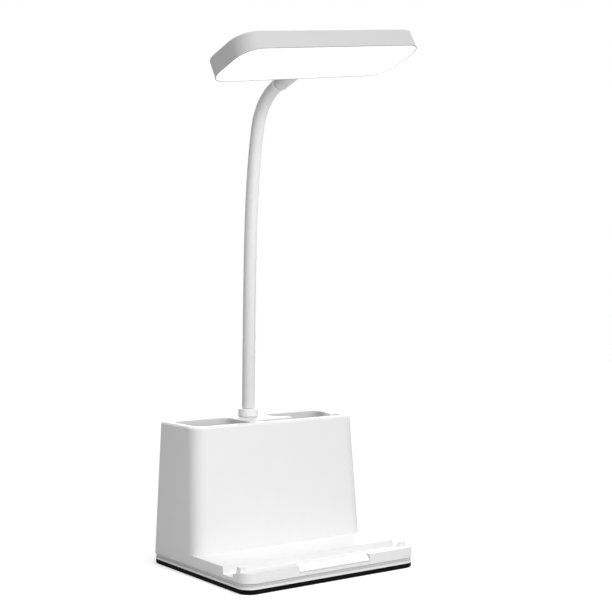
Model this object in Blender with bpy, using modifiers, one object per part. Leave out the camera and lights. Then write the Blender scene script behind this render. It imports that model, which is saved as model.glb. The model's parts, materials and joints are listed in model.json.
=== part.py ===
"""Desk lamp with a pen holder, a phone ledge and a flexible neck.

Metres, +Z up.  The origin is the middle of the base's underside, +X is to the lamp's
right as it faces the user and -Y is towards the user.  The neck and the head are modelled
in the pose in which the lamp is shown.
"""
import math

import bmesh
import bpy
from mathutils import Matrix, Vector

# Clearances and overruns
seat_gap = 0.0003
cut_overrun = 0.004
small_overrun = 0.001

# Base as a whole
base_width = 0.125
base_depth = 0.1072
base_height = 0.0873
base_corner = 0.0085
corner_steps = 6

# Rubber pad and bottom cover
pad_thickness = 0.0026
pad_edge_inset = 0.0005
pad_edge_round = 0.0006
cover_top = 0.0060
cover_foot_inset = 0.0004
cover_foot_height = 0.0013
cover_groove_inset = 0.0011
cover_groove_rise = 0.0002
cover_seam_inset = 0.0002
lip_height = 0.0022
lip_thickness = 0.0012
lip_to_front = 0.0286

# Housing: tray at the front, tower at the back
tray_top = 0.0125
tray_edge_round = 0.0008
tower_inset = 0.0029
tower_depth = 0.0546
tower_front_lean = 0.0056
rim_round = 0.0016
housing_wall = 0.0022
tray_wall = 0.0018
deck_wall = 0.0022
pocket_wall = 0.0016

# Pockets for pens, with their mouths measured at the rim
pocket_to_front_face = 0.0059
left_pocket_to_side = 0.0085
left_pocket_to_middle = 0.0145
left_pocket_to_back = 0.0116
right_pocket_to_side = 0.0080
right_pocket_to_middle = 0.0140
right_pocket_to_back = 0.0106
slot_left = -0.0075
slot_depth = 0.0085
divider_thickness = 0.0065
pocket_corner = 0.006
slot_corner = 0.0028
pocket_floor = 0.0273
slot_floor = 0.0473
pocket_draft = 0.0006
pocket_floor_round = 0.002
mouth_round = 0.0008
divider_dip = 0.0045
divider_dip_to_left = 0.0065
divider_dip_to_right = 0.0040
divider_dip_round = 0.0042

# Phone ledge, groove and end stops, measured from the base's front and sides
ledge_to_front = 0.0036
ledge_back_to_front = 0.0126
ledge_back_height = 0.0105
groove_floor = 0.0083
groove_wall_slope = 0.0007
groove_back_to_front = 0.0239
stop_inner_foot_to_side = 0.0085
stop_inner_top_to_side = 0.0055
stop_outer_top_to_side = 0.0025
stop_outer_foot_to_side = 0.0015
stop_top = 0.0141
stop_depth = 0.0042

# Touch strip in the tray's front edge
strip_width = 0.051
strip_back_to_front = 0.0049
strip_foot_height = 0.0075
strip_thickness = 0.0009
strip_margin = 0.0004
sensor_width = 0.020
sensor_thickness = 0.0006
sensor_length_share = 0.55

# Screws that hold the bottom cover
screw_to_side = 0.0145
rear_screw_to_back = 0.0176
front_screw_to_front = 0.0336
screw_shank_radius = 0.0011
screw_head_radius = 0.0024
screw_head_height = 0.0012
screw_grip = 0.0041
screw_hole_clearance = 0.0003
boss_radius = 0.0034
boss_foot_rise = 0.0009

# Parts inside the base
cell_radius = 0.0092
cell_length = 0.065
cell_to_back = 0.0316
cell_cap_radius = 0.0030
cell_cap_height = 0.0012
cell_edge_round = 0.0008
cradle_offset = 0.0075
cradle_length = 0.054
cradle_thickness = 0.0014
weight_to_side = 0.0195
weight_to_front = 0.0271
weight_depth = 0.0205
weight_thickness = 0.0036
board_width = 0.040
board_depth = 0.0186
board_to_back = 0.0030
board_rise = 0.0033
board_thickness = 0.0016
board_corner = 0.0010
post_radius = 0.0022
post_x = 0.015
post_to_front_edge = 0.0080
chip_width = 0.0060
chip_depth = 0.0050
chip_height = 0.0015
chip_x = -0.0120
chip_to_front_edge = 0.0060
coil_radius = 0.0032
coil_height = 0.0030
coil_x = 0.0125
coil_to_front_edge = 0.0050
capacitor_radius = 0.0025
capacitor_height = 0.0060
capacitor_x = -0.0120
capacitor_to_front_edge = 0.0140
socket_width = 0.0090
socket_height = 0.0032
socket_corner = 0.0012
socket_wall = 0.0003
socket_length = 0.0088
socket_to_back = 0.0008
socket_depth = 0.0068
socket_window_margin = 0.0004
tongue_width = 0.0062
tongue_thickness = 0.0007
tongue_length = 0.0048
tongue_root_gap = 0.0003
lead_radius = 0.0008
lead_start_x = 0.0040
lead_start_rise = 0.0010
lead_end_drop = 0.0005
lead_bend_share = 0.35

# Neck: its centre line, links and fittings
neck_to_back = 0.0153
neck_length = 0.2160
neck_lean = math.radians(1.2)
neck_droop = math.radians(11.7)
neck_droop_power = 4
neck_bend_start_share = 0.841
neck_radius = 0.0041
neck_groove_depth = 0.00022
rib_pitch = 0.0017
link_count = 12
ball_radius = 0.0031
ball_cut_share = 0.82
ball_steps = 4
socket_clearance = 0.0003
socket_rim_rise = 0.0012
link_end_gap = 0.0009
shoulder_height = 0.0005
shoulder_inset = 0.0006
neck_bore = 0.0012
link_sides = 3
neck_line_steps = 430
collar_radius = 0.0063
collar_height = 0.005
collar_round = 0.0006
stem_radius = 0.0042
stem_length = 0.0125
stem_bore = 0.0016
washer_radius = 0.0075
washer_thickness = 0.0009
nut_radius = 0.0078
nut_thickness = 0.0040
ferrule_radius = 0.0045
ferrule_length = 0.0016
spigot_radius = 0.0030
spigot_length = 0.0060

# Head
head_length = 0.145
head_depth = 0.0400
head_thickness = 0.0110
head_corner = 0.0128
head_draft = 0.0002
head_top_round = 0.0010
head_wall = 0.0014
head_roof = 0.0015
head_pitch = math.radians(21.1)
head_roll = math.radians(8.0)
head_yaw = math.radians(4.4)
knuckle_length = 0.0184
knuckle_radius = 0.0049
knuckle_round = 0.0018
knuckle_root = 0.0010
knuckle_rise = 0.0003
diffuser_thickness = 0.0016
diffuser_recess = 0.0001
diffuser_lip = 0.0006
frame_thickness = 0.0008
led_board_to_side = 0.0075
led_board_to_front = 0.0050
led_board_to_back = 0.0060
led_board_thickness = 0.0012
led_board_corner = 0.0040
led_count = 12
led_to_board_end = 0.0100
led_width = 0.0028
led_depth = 0.0035
led_height = 0.0007
head_screw_to_side = 0.0125
head_screw_margin = 0.0035
head_post_radius = 0.0022
head_post_length = 0.0019
head_screw_radius = 0.0009
head_screw_head_radius = 0.0018
head_screw_head_height = 0.0010
head_screw_length = 0.0030

# Facets
round_steps = 20
fine_round_steps = 28
lead_steps = 14
screw_steps = 10
fillet_steps = 3
edge_round_steps = 2

# Values that follow from the sizes above: the base's faces, and what is measured from them
base_side = base_width / 2
base_back = base_depth / 2
base_front = -base_back
tower_foot_front = base_back - tower_depth
pocket_front = tower_foot_front + tower_front_lean + pocket_to_front_face
left_pocket_left = left_pocket_to_side - base_side
left_pocket_right = -left_pocket_to_middle
left_pocket_back = base_back - left_pocket_to_back
right_pocket_left = right_pocket_to_middle
right_pocket_right = base_side - right_pocket_to_side
slot_back = pocket_front + slot_depth
right_pocket_front = slot_back + divider_thickness
right_pocket_back = base_back - right_pocket_to_back
ledge_front = base_front + ledge_to_front
ledge_back = base_front + ledge_back_to_front
groove_back = base_front + groove_back_to_front
strip_back = base_front + strip_back_to_front
neck_foot_y = base_back - neck_to_back

# Values that follow from the sizes above: heights and fits
seam_height = cover_top + seat_gap
cover_bottom = pad_thickness + seat_gap
screw_tip = cover_top + screw_grip
cell_y = base_back - cell_to_back
cell_height = cover_top + seat_gap + cell_radius
board_back = base_back - board_to_back
board_front = board_back - board_depth
board_low = cover_top + board_rise
board_top = board_low + board_thickness
socket_mouth = base_back - socket_to_back
collar_bottom = base_height + seat_gap
collar_top = base_height + collar_height
first_joint_share = (collar_height - socket_rim_rise) / neck_length
link_share = (1 - first_joint_share) / link_count
head_side = head_length / 2
head_ceiling = head_thickness / 2 - head_roof
led_board_top = head_ceiling - head_post_length - seat_gap
led_board_low = led_board_top - led_board_thickness
led_board_front = led_board_to_front - head_depth
led_board_half = head_side - led_board_to_side
diffuser_low = diffuser_recess - head_thickness / 2
half_turn = math.pi
quarter_turn = math.pi / 2
full_turn = math.tau

lamp = bpy.data.collections.new("desk_lamp_with_pen_holder")
cutters = bpy.data.collections.new("cutters")


class Finish:
    """A colour with its roughness and how metallic it is."""

    def __init__(self, colour, roughness, metallic=0.0):
        self.colour = (*colour, 1.0)
        self.roughness = roughness
        self.metallic = metallic

    def put_on(self, piece):
        material = bpy.data.materials.new(piece.name + "_finish")
        material.use_nodes = True
        shader = material.node_tree.nodes["Principled BSDF"]
        shader.inputs["Base Color"].default_value = self.colour
        shader.inputs["Roughness"].default_value = self.roughness
        shader.inputs["Metallic"].default_value = self.metallic
        material.diffuse_color = self.colour
        piece.data.materials.clear()
        piece.data.materials.append(material)


white_shell = Finish((0.86, 0.86, 0.86), 0.42)
white_gloss = Finish((0.92, 0.92, 0.92), 0.15)
white_neck = Finish((0.84, 0.84, 0.84), 0.45)
opal = Finish((0.96, 0.96, 0.96), 0.35)
black_rubber = Finish((0.015, 0.015, 0.015), 0.75)
steel = Finish((0.62, 0.62, 0.63), 0.3, 1.0)
zinc = Finish((0.5, 0.5, 0.51), 0.4, 1.0)
copper = Finish((0.72, 0.42, 0.27), 0.35, 1.0)
board_green = Finish((0.03, 0.22, 0.10), 0.5)
board_white = Finish((0.88, 0.88, 0.87), 0.5)
black_plastic = Finish((0.02, 0.02, 0.02), 0.5)
cell_sleeve = Finish((0.05, 0.18, 0.45), 0.4)
led_yellow = Finish((0.95, 0.82, 0.35), 0.4)
lead_cover = Finish((0.75, 0.05, 0.04), 0.5)


class Plan:
    """A rounded rectangle seen from above."""

    def __init__(self, left, right, front, back, corner):
        self.left, self.right = left, right
        self.front, self.back = front, back
        self.corner = corner

    def outline(self, inset, steps=corner_steps):
        left, right = self.left + inset, self.right - inset
        front, back = self.front + inset, self.back - inset
        room = min(right - left, back - front) / 2 - seat_gap
        radius = min(max(self.corner - inset, seat_gap), room)
        corners = ((right, back, 0), (left, back, 1), (left, front, 2), (right, front, 3))
        points = []
        for x, y, turn in corners:
            inner_x = x - math.copysign(radius, x - (left + right) / 2)
            inner_y = y - math.copysign(radius, y - (front + back) / 2)
            points += arc(inner_x, inner_y, radius, turn * quarter_turn, quarter_turn, steps)
        return points


def arc(centre_x, centre_y, radius, start, sweep, steps):
    """Points on an arc, both ends included."""
    angles = (start + sweep * step / steps for step in range(steps + 1))
    return [(centre_x + radius * math.cos(a), centre_y + radius * math.sin(a)) for a in angles]


def add_object(name, mesh, collection=lamp):
    piece = bpy.data.objects.new(name, mesh)
    collection.objects.link(piece)
    if collection is cutters:
        piece.hide_render = True
        piece.display_type = "WIRE"
    return piece


def mesh_object(name, shape, collection=lamp):
    """Turn a bmesh into an object."""
    bmesh.ops.recalc_face_normals(shape, faces=shape.faces)
    mesh = bpy.data.meshes.new(name)
    shape.to_mesh(mesh)
    shape.free()
    return add_object(name, mesh, collection)


def carve(target, tool, operation="DIFFERENCE"):
    step = target.modifiers.new(tool.name, "BOOLEAN")
    step.operation = operation
    step.solver = "EXACT"
    step.object = tool


def shade(piece, angle=math.radians(35)):
    piece.data.shade_smooth()
    piece.data.set_sharp_from_angle(angle=angle)


def stacked_solid(name, plan, levels, collection=lamp, steps=corner_steps):
    """A closed solid through outlines of one plan, each with its inset and height."""
    shape = bmesh.new()
    rings = []
    for inset, height in levels:
        rings.append([shape.verts.new((x, y, height)) for x, y in plan.outline(inset, steps)])
    join_rings(shape, rings)
    return mesh_object(name, shape, collection)


def join_rings(shape, rings, closed_ends=True):
    for low, high in zip(rings, rings[1:]):
        for i in range(len(low)):
            j = (i + 1) % len(low)
            shape.faces.new((low[i], low[j], high[j], high[i]))
    if closed_ends:
        shape.faces.new(list(reversed(rings[0])))
        shape.faces.new(rings[-1])


def rounded_top(top, radius, steps=fillet_steps):
    """Inset and height of the levels of an outer edge rounded upwards to a top."""
    angles = (quarter_turn * step / steps for step in range(steps + 1))
    return [(radius * (1 - math.cos(a)), top - radius * (1 - math.sin(a))) for a in angles]


def block(name, low, high, collection=lamp):
    """A box between two corners."""
    shape = bmesh.new()
    bmesh.ops.create_cube(shape, size=1)
    low, high = Vector(low), Vector(high)
    size = Matrix.Diagonal((*(high - low), 1))
    bmesh.ops.transform(shape, matrix=Matrix.Translation((low + high) / 2) @ size, verts=shape.verts)
    return mesh_object(name, shape, collection)


def prism(name, profile, left, right, collection=cutters):
    """A side profile of (y, z) points drawn out along X."""
    shape = bmesh.new()
    rings = [[shape.verts.new((x, y, z)) for y, z in profile] for x in (left, right)]
    join_rings(shape, rings)
    return mesh_object(name, shape, collection)


def cylinder(name, centre, radius, low, high, collection=lamp, steps=round_steps):
    shape = bmesh.new()
    bmesh.ops.create_cone(shape, cap_ends=True, segments=steps, radius1=radius, radius2=radius,
                          depth=high - low)
    place = Matrix.Translation((centre[0], centre[1], (low + high) / 2))
    bmesh.ops.transform(shape, matrix=place, verts=shape.verts)
    return mesh_object(name, shape, collection)


def turned(name, profile, collection=lamp, steps=round_steps, closed=True):
    """A turned piece: a profile of (radius, z) points, outer side from top to bottom."""
    mesh = bpy.data.meshes.new(name)
    edges = [(i, i + 1) for i in range(len(profile) - 1)]
    if closed:
        edges.append((len(profile) - 1, 0))
    mesh.from_pydata([(radius, 0, z) for radius, z in profile], edges, [])
    piece = add_object(name, mesh, collection)
    screw = piece.modifiers.new("turn", "SCREW")
    screw.angle = full_turn
    screw.steps = screw.render_steps = steps
    screw.use_merge_vertices = True
    screw.merge_threshold = seat_gap / 30
    screw.use_smooth_shade = True
    return piece


def tube(name, points, radii, sides, collection=lamp):
    """A tube through points with a radius at each, as a closed mesh."""
    curve = bpy.data.curves.new(name, "CURVE")
    curve.dimensions = "3D"
    curve.bevel_depth = max(radii)
    curve.bevel_resolution = sides
    curve.use_fill_caps = True
    line = curve.splines.new("POLY")
    line.points.add(len(points) - 1)
    for point, place, radius in zip(line.points, points, radii):
        point.co = (*place, 1)
        point.radius = radius / curve.bevel_depth
    guide = add_object(name + "_guide", curve, collection)
    bpy.context.view_layer.update()
    mesh = bpy.data.meshes.new_from_object(guide.evaluated_get(bpy.context.evaluated_depsgraph_get()))
    shape = bmesh.new()
    shape.from_mesh(mesh)
    bmesh.ops.remove_doubles(shape, verts=shape.verts, dist=seat_gap / 30)
    bmesh.ops.recalc_face_normals(shape, faces=shape.faces)
    shape.to_mesh(mesh)
    shape.free()
    mesh.name = name
    piece = add_object(name, mesh, collection)
    piece.matrix_world = guide.matrix_world
    bpy.data.objects.remove(guide, do_unlink=True)
    return piece


def ball(name, centre, radius, collection=cutters):
    shape = bmesh.new()
    bmesh.ops.create_uvsphere(shape, u_segments=12, v_segments=8, radius=radius)
    bmesh.ops.transform(shape, matrix=Matrix.Translation(centre), verts=shape.verts)
    return mesh_object(name, shape, collection)


# Base


def side_draft(height):
    return tower_inset * (height - seam_height) / (base_height - seam_height)


def tower_front(height):
    """Where the tower's front face stands at a height."""
    return tower_foot_front + tower_front_lean * (height - tray_top) / (base_height - tray_top)


def full_ring(height, inset, link_y):
    """The base's whole outline, with a point on each side where the tower's front begins."""
    half = base_side - inset - side_draft(height)
    end = base_back - inset - side_draft(height)
    radius = base_corner - inset
    inner_x, inner_y = half - radius, end - radius
    ring = [(half, link_y)]
    ring += arc(inner_x, inner_y, radius, 0, quarter_turn, corner_steps)
    ring += arc(-inner_x, inner_y, radius, quarter_turn, quarter_turn, corner_steps)
    ring += [(-half, link_y)]
    ring += arc(-inner_x, -inner_y, radius, half_turn, quarter_turn, corner_steps)
    ring += arc(inner_x, -inner_y, radius, half_turn + quarter_turn, quarter_turn, corner_steps)
    return ring


def tower_ring(height, inset):
    """The tower's outline, starting on the same points as the whole outline."""
    half = base_side - inset - side_draft(height)
    back = base_back - inset - side_draft(height)
    front = tower_front(height) + inset
    radius = max(base_corner - inset, seat_gap)
    inner_x = half - radius
    ring = [(half, front + radius)]
    ring += arc(inner_x, back - radius, radius, 0, quarter_turn, corner_steps)
    ring += arc(-inner_x, back - radius, radius, quarter_turn, quarter_turn, corner_steps)
    ring += [(-half, front + radius)]
    ring += arc(-inner_x, front + radius, radius, half_turn, quarter_turn, corner_steps)[1:]
    ring += arc(inner_x, front + radius, radius, half_turn + quarter_turn, quarter_turn,
                corner_steps)[:-1]
    return ring


def stepped_block(name, inset, low, tray, top, top_round, collection):
    """The housing's form, a low tray with a tower behind it, drawn in by an inset."""
    link_y = tower_front(tray) + base_corner
    shared = 2 * (corner_steps + 1) + 2
    shape = bmesh.new()

    def ring_at(points, height):
        return [shape.verts.new((x, y, height)) for x, y in points]

    foot = ring_at(full_ring(low, inset, link_y), low)
    edge = ring_at(full_ring(tray, inset, link_y), tray)
    join_rings(shape, [foot, edge], closed_ends=False)
    shape.faces.new(list(reversed(foot)))
    tower_front_points = tower_ring(tray, inset)[shared:]
    tower_foot = edge[:shared] + ring_at(tower_front_points, tray)
    tray_face = [edge[shared - 1], *edge[shared:], edge[0], *reversed(tower_foot[shared:])]
    shape.faces.new(tray_face)
    rings = [tower_foot]
    for extra, height in rounded_top(top, top_round) if top_round else [(0, top)]:
        rings.append(ring_at(tower_ring(height, inset + extra), height))
    join_rings(shape, rings, closed_ends=False)
    shape.faces.new(rings[-1])
    if top_round:
        front_edge = set(edge[shared:])
        rim = [e for e in shape.edges if e.verts[0] in front_edge and e.verts[1] in front_edge]
        bmesh.ops.bevel(shape, geom=rim, offset=tray_edge_round, offset_type="OFFSET",
                        segments=edge_round_steps, profile=0.5, affect="EDGES")
    return mesh_object(name, shape, collection)


def pocket_plan(kind):
    """Plan of a pocket's mouth."""
    if kind == "left":
        return Plan(left_pocket_left, left_pocket_right, pocket_front, left_pocket_back, pocket_corner)
    if kind == "right":
        return Plan(right_pocket_left, right_pocket_right, right_pocket_front, right_pocket_back,
                    pocket_corner)
    return Plan(slot_left, right_pocket_right, pocket_front, slot_back, slot_corner)


def pocket(kind, floor):
    """The hollow of one pocket, drafted, with a rounded floor and mouth."""
    floor_edge = [(pocket_draft + inset, height)
                  for inset, height in rounded_floor(floor, pocket_floor_round)]
    mouth = [(-inset, height) for inset, height in rounded_mouth(base_height, mouth_round)]
    levels = floor_edge + mouth + [(-mouth_round, base_height + cut_overrun)]
    return stacked_solid(kind + "_pocket", pocket_plan(kind), levels, cutters)


def rounded_floor(floor, radius, steps=fillet_steps):
    angles = (quarter_turn * step / steps for step in range(steps + 1))
    return [(radius * (1 - math.sin(a)), floor + radius * (1 - math.cos(a))) for a in angles]


def rounded_mouth(top, radius, steps=fillet_steps):
    angles = (quarter_turn * step / steps for step in range(steps + 1))
    return [(radius * (1 - math.cos(a)), top - radius * (1 - math.sin(a))) for a in angles]


def pocket_walls(kind, floor):
    """The pocket with its walls, kept out of the housing's hollow."""
    levels = [(pocket_draft - pocket_wall, floor - pocket_wall),
              (-pocket_wall, base_height + cut_overrun)]
    return stacked_solid(kind + "_pocket_walls", pocket_plan(kind), levels, cutters)


def ledge_profile(outset):
    """Side profile of the sloping ledge and the phone groove, moved outwards by a wall."""
    top = tray_top + cut_overrun
    floor = groove_floor - outset
    return [(ledge_front - outset, top), (ledge_front - outset, tray_top - outset),
            (ledge_back - outset, ledge_back_height - outset),
            (ledge_back - outset + groove_wall_slope, floor),
            (groove_back + outset - groove_wall_slope, floor), (groove_back + outset, top)]


def strip_profile(outset):
    """Side profile of the wedge cut for the touch strip."""
    slope = (tray_top - strip_foot_height) / strip_back_to_front
    ahead = base_front - cut_overrun
    return [(strip_back + outset, tray_top - outset),
            (strip_back + outset, tray_top + cut_overrun),
            (ahead, tray_top + cut_overrun),
            (ahead, strip_foot_height - slope * cut_overrun - outset)]


def stop_block(side):
    """A raised stop at one end of the ledge, seen from the front as a trapezium."""
    foot = ledge_back_height - small_overrun
    profile = [(base_side - stop_inner_foot_to_side, foot), (base_side - stop_outer_foot_to_side, foot),
               (base_side - stop_outer_top_to_side, stop_top),
               (base_side - stop_inner_top_to_side, stop_top)]
    shape = bmesh.new()
    front, back = ledge_back - stop_depth, ledge_back - small_overrun / 2
    rings = [[shape.verts.new((side * x, y, z)) for x, z in profile] for y in (front, back)]
    join_rings(shape, rings)
    return mesh_object("stop_right" if side > 0 else "stop_left", shape, cutters)


def screw_places():
    rows = (base_back - rear_screw_to_back, base_front + front_screw_to_front)
    return [(side * (base_side - screw_to_side), y) for side in (-1, 1) for y in rows]


def housing_hollow():
    """The space inside the housing, leaving walls, pockets, groove and screw bosses."""
    hollow = stepped_block("housing_hollow", housing_wall, seam_height - cut_overrun,
                           tray_top - tray_wall, base_height - deck_wall, 0, cutters)
    for kind, floor in (("left", pocket_floor), ("right", pocket_floor), ("slot", slot_floor)):
        carve(hollow, pocket_walls(kind, floor))
    divider = block("divider_core", (right_pocket_left, slot_back - pocket_wall, slot_floor),
                    (right_pocket_right, right_pocket_front + pocket_wall, base_height + cut_overrun),
                    cutters)
    carve(hollow, divider)
    reach = base_side + cut_overrun
    carve(hollow, prism("groove_walls", ledge_profile(tray_wall), -reach, reach))
    half_strip = strip_width / 2 + tray_wall
    carve(hollow, prism("strip_walls", strip_profile(tray_wall), -half_strip, half_strip))
    for number, (x, y) in enumerate(screw_places()):
        top = pocket_floor if y > 0 else tray_top
        carve(hollow, cylinder(f"boss_{number}", (x, y), boss_radius, cover_top + boss_foot_rise,
                               top - small_overrun, cutters))
    return hollow


def make_housing():
    """One moulding: tower with pockets, deck, tray, phone ledge and groove."""
    housing = stepped_block("base_housing", 0, seam_height, tray_top, base_height, rim_round, lamp)
    carve(housing, housing_hollow())
    for kind, floor in (("left", pocket_floor), ("right", pocket_floor), ("slot", slot_floor)):
        carve(housing, pocket(kind, floor))
    carve(housing, divider_dip_tool())
    reach = base_side + cut_overrun
    carve(housing, prism("ledge_cut", ledge_profile(0), -reach, reach))
    for side in (-1, 1):
        carve(housing, stop_block(side), "UNION")
    carve(housing, prism("strip_cut", strip_profile(0), -strip_width / 2, strip_width / 2))
    hole_radius = stem_radius + seat_gap
    carve(housing, cylinder("stem_hole", (0, neck_foot_y), hole_radius,
                            base_height - deck_wall - cut_overrun, base_height + cut_overrun, cutters))
    pilot_radius = screw_shank_radius + screw_hole_clearance
    for number, (x, y) in enumerate(screw_places()):
        carve(housing, cylinder(f"pilot_{number}", (x, y), pilot_radius, seam_height - cut_overrun,
                                screw_tip + seat_gap, cutters, screw_steps))
    carve(housing, socket_window())
    shade(housing)
    white_shell.put_on(housing)
    return housing


def divider_dip_tool():
    """The hollow in the divider's top between the slot and the right pocket."""
    left, right = right_pocket_left + divider_dip_to_left, right_pocket_right - divider_dip_to_right
    low, high = base_height - divider_dip, base_height + cut_overrun
    outline = arc(left + divider_dip_round, low + divider_dip_round, divider_dip_round, half_turn,
                  quarter_turn, fillet_steps)
    outline += arc(right - divider_dip_round, low + divider_dip_round, divider_dip_round,
                   half_turn + quarter_turn, quarter_turn, fillet_steps)
    outline += [(right, high), (left, high)]
    shape = bmesh.new()
    front, back = slot_back - small_overrun, right_pocket_front + small_overrun
    rings = [[shape.verts.new((x, y, z)) for x, z in outline] for y in (front, back)]
    join_rings(shape, rings)
    return mesh_object("divider_dip", shape, cutters)


def make_bottom_cover():
    """The cover that closes the housing, with its locating lip, cradle and board posts."""
    plan = base_plan()
    foot_top = cover_bottom + cover_foot_height
    levels = [(cover_foot_inset, cover_bottom), (cover_foot_inset, foot_top),
              (cover_groove_inset, foot_top + cover_groove_rise), (cover_seam_inset, cover_top)]
    cover = stacked_solid("bottom_cover", plan, levels)
    lip_outer = housing_wall + seat_gap
    low = cover_top - small_overrun
    lip = stacked_solid("lip", plan, [(lip_outer, low), (lip_outer, cover_top + lip_height)], cutters)
    lip_inner = lip_outer + lip_thickness
    bore_low, bore_high = low - cut_overrun, cover_top + lip_height + cut_overrun
    carve(lip, stacked_solid("lip_bore", plan, [(lip_inner, bore_low), (lip_inner, bore_high)], cutters))
    reach = base_side + cut_overrun
    lip_end = base_front + lip_to_front
    carve(lip, block("lip_end", (-reach, -base_depth, bore_low), (reach, lip_end, bore_high), cutters))
    carve(cover, lip, "UNION")
    inner_edge = cradle_offset - cradle_thickness / 2
    cradle_top = cell_height - math.sqrt(cell_radius ** 2 - inner_edge ** 2) - seat_gap
    for number, side in enumerate((-1, 1)):
        y = cell_y + side * cradle_offset
        rib = block(f"cradle_{number}", (-cradle_length / 2, y - cradle_thickness / 2, low),
                    (cradle_length / 2, y + cradle_thickness / 2, cradle_top), cutters)
        carve(cover, rib, "UNION")
    for number, side in enumerate((-1, 1)):
        post = cylinder(f"post_{number}", (side * post_x, board_front + post_to_front_edge),
                        post_radius, low, board_low - seat_gap, cutters, screw_steps)
        carve(cover, post, "UNION")
    for number, (x, y) in enumerate(screw_places()):
        shank = screw_shank_radius + screw_hole_clearance
        head = screw_head_radius + screw_hole_clearance
        recess = cover_bottom + screw_head_height + 2 * seat_gap
        carve(cover, cylinder(f"shank_hole_{number}", (x, y), shank, cover_bottom - cut_overrun,
                              cover_top + cut_overrun, cutters, screw_steps))
        carve(cover, cylinder(f"head_hole_{number}", (x, y), head, cover_bottom - cut_overrun,
                              recess, cutters, screw_steps))
    shade(cover)
    white_shell.put_on(cover)


def base_plan():
    return Plan(-base_side, base_side, base_front, base_back, base_corner)


def make_pad():
    """The rubber sheet under the base."""
    levels = [(pad_edge_inset + pad_edge_round, 0), (pad_edge_inset, pad_edge_round),
              (pad_edge_inset, pad_thickness)]
    pad = stacked_solid("antislip_pad", base_plan(), levels)
    shade(pad)
    black_rubber.put_on(pad)


def screw_shape(name, head_radius, head_height, shank_radius, length, steps=screw_steps):
    """One screw standing on its head, which is centred on the origin."""
    profile = [(head_radius, 0), (head_radius, head_height), (shank_radius, head_height),
               (shank_radius, length - shank_radius), (shank_radius / 2, length)]
    shape = bmesh.new()
    rings = []
    for radius, z in profile:
        circle = arc(0, 0, radius, 0, full_turn, steps)[:-1]
        rings.append([shape.verts.new((x, y, z)) for x, y in circle])
    join_rings(shape, rings)
    return mesh_object(name, shape)


def copies(first, places):
    """The first piece and its like, which share one mesh, each at its own place."""
    pieces = [first]
    for number in range(1, len(places)):
        pieces.append(add_object(f"{first.name[:-1]}{number + 1}", first.data))
    for piece, place in zip(pieces, places):
        piece.location = place
    return pieces


def make_base_screws():
    low = cover_bottom + seat_gap
    screw = screw_shape("base_screw_1", screw_head_radius, screw_head_height, screw_shank_radius,
                        screw_tip - low)
    shade(screw)
    steel.put_on(screw)
    copies(screw, [(x, y, low) for x, y in screw_places()])


def make_counterweight():
    low = cover_top + seat_gap
    half_width = base_side - weight_to_side
    front = base_front + weight_to_front
    plate = block("counterweight", (-half_width, front, low),
                  (half_width, front + weight_depth, low + weight_thickness))
    zinc.put_on(plate)


def make_cell():
    """The rechargeable cell, lying across the base."""
    half, edge = cell_length / 2, cell_edge_round
    profile = [(0, half + cell_cap_height), (cell_cap_radius, half + cell_cap_height),
               (cell_cap_radius, half), (cell_radius - edge, half), (cell_radius, half - edge),
               (cell_radius, edge - half), (cell_radius - edge, -half), (0, -half)]
    cell = turned("battery_cell", profile, closed=False)
    cell.location = (0, cell_y, cell_height)
    cell.rotation_euler = (0, quarter_turn, 0)
    cell_sleeve.put_on(cell)


def make_board():
    plan = Plan(-board_width / 2, board_width / 2, board_front, board_back, board_corner)
    levels = [(0, board_low), (0, board_top)]
    board = stacked_solid("control_board", plan, levels, steps=edge_round_steps)
    board_green.put_on(board)
    low = board_top + seat_gap
    chip_y = board_front + chip_to_front_edge
    chip = block("driver_chip", (chip_x - chip_width / 2, chip_y - chip_depth / 2, low),
                 (chip_x + chip_width / 2, chip_y + chip_depth / 2, low + chip_height))
    black_plastic.put_on(chip)
    coil = cylinder("driver_coil", (coil_x, board_front + coil_to_front_edge), coil_radius, low,
                    low + coil_height)
    shade(coil)
    copper.put_on(coil)
    capacitor = cylinder("storage_capacitor", (capacitor_x, board_front + capacitor_to_front_edge),
                         capacitor_radius, low, low + capacitor_height)
    shade(capacitor)
    zinc.put_on(capacitor)


def socket_plan():
    """The charging socket's outline, seen from behind as (x, z)."""
    low = board_top + seat_gap
    return Plan(-socket_width / 2, socket_width / 2, low, low + socket_height, socket_corner)


def upright(piece):
    """Stand a piece drawn as (x, z, depth) up, so that its depth runs along Y."""
    turn = Matrix(((1, 0, 0, 0), (0, 0, 1, 0), (0, 1, 0, 0), (0, 0, 0, 1)))
    piece.data.transform(turn)
    piece.data.flip_normals()
    return piece


def socket_window():
    """The opening for the charging socket in the housing's back wall."""
    margin = socket_window_margin
    levels = [(-margin, socket_mouth - housing_wall - margin), (-margin, base_depth)]
    return upright(stacked_solid("socket_window", socket_plan(), levels, cutters, fillet_steps))


def make_charging_socket():
    plan = socket_plan()
    levels = [(0, socket_mouth - socket_length), (0, socket_mouth)]
    shell = upright(stacked_solid("charging_socket", plan, levels, steps=fillet_steps))
    levels = [(socket_wall, socket_mouth - socket_depth), (socket_wall, socket_mouth + cut_overrun)]
    carve(shell, upright(stacked_solid("socket_bore", plan, levels, cutters, fillet_steps)))
    shade(shell)
    steel.put_on(shell)
    middle = (plan.front + plan.back) / 2
    root = socket_mouth - socket_depth + tongue_root_gap
    tongue = block("socket_tongue", (-tongue_width / 2, root, middle - tongue_thickness / 2),
                   (tongue_width / 2, root + tongue_length, middle + tongue_thickness / 2))
    black_plastic.put_on(tongue)


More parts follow.
